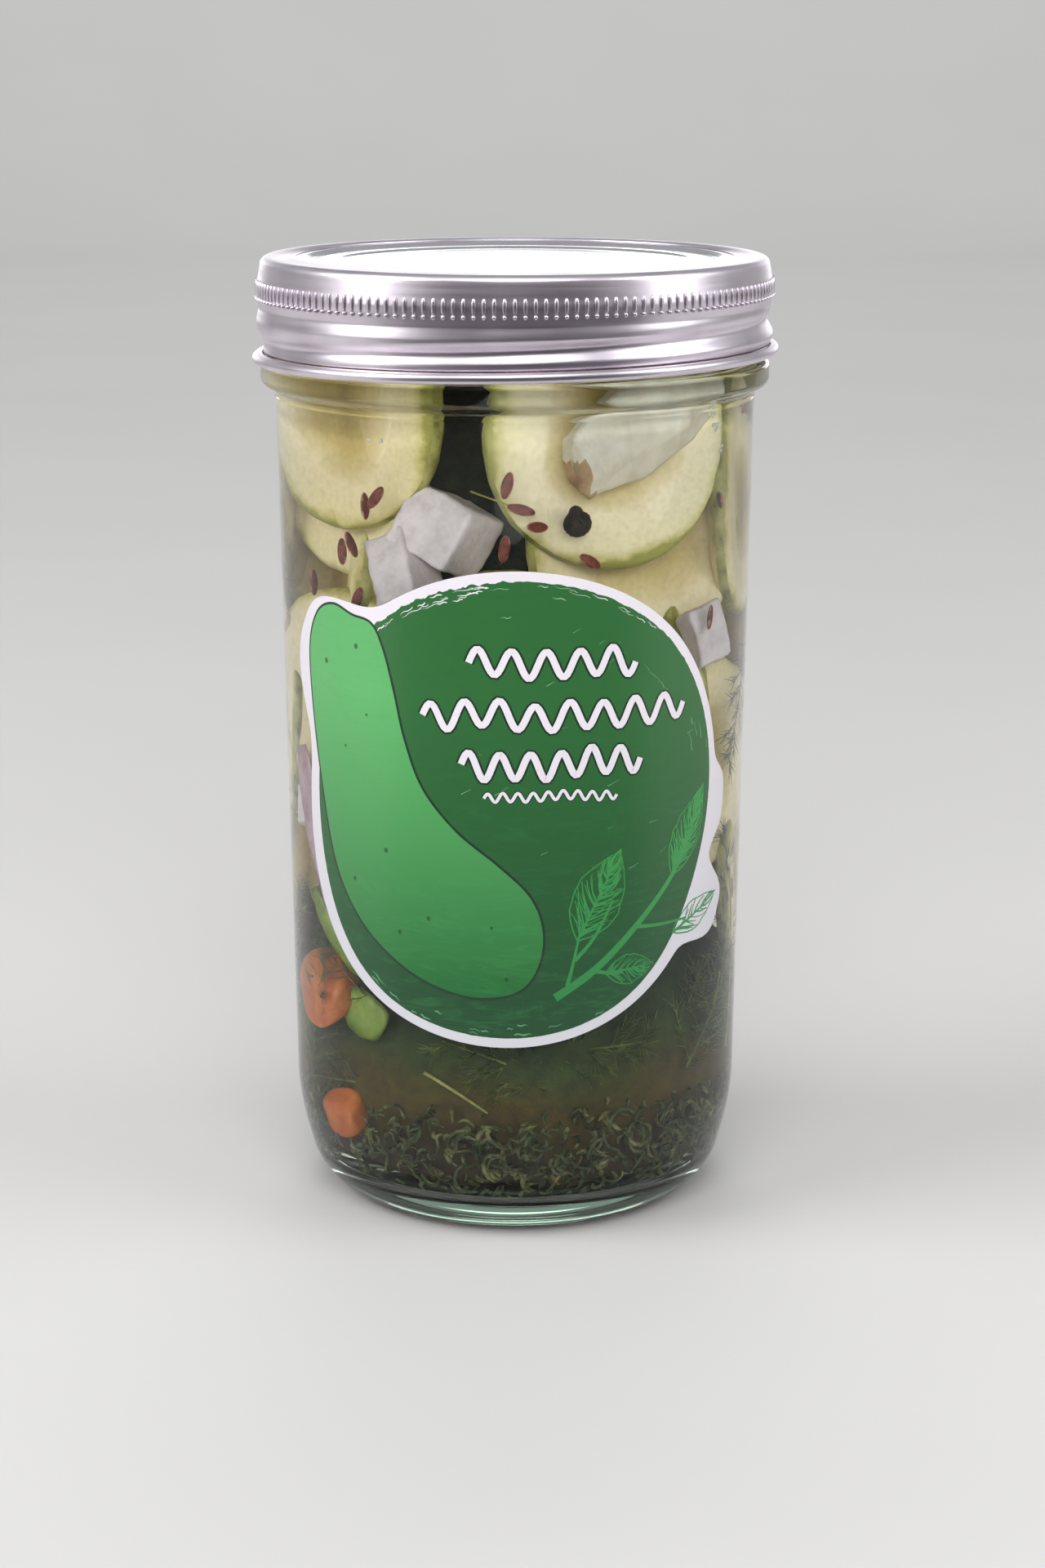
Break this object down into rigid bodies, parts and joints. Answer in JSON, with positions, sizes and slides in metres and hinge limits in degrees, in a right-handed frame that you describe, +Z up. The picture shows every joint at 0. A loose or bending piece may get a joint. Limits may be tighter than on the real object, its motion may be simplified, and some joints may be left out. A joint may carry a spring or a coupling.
{
  "type": "jar of pickles",
  "caption": "Tall straight-sided glass jar of dill pickles in brine, with a flat metal lid, a screw band and a die-cut sticker.",
  "frame": {"origin": "middle of the ring that the jar stands on, on the table", "axes": "+Z up along the jar's axis, -Y out of the middle of the sticker, +X to the right when the sticker is faced"},
  "size_m": [0.091, 0.091, 0.1659],
  "materials": {
    "clear_glass": "clear pressed soda-lime glass",
    "brine": "cloudy yellow-green pickle brine with pickles, seeds and dill in it",
    "lid_metal": "bright tin-plated steel sheet",
    "band_metal": "bright tin-plated steel sheet, rolled and knurled",
    "sticker_vinyl": "printed vinyl sticker, satin"
  },
  "bodies": {
    "root": {"glass_jar": "clear_glass", "brine": "brine", "lid_disc": "lid_metal", "screw_band": "band_metal", "sticker": "sticker_vinyl"}
  },
  "joints": []
}
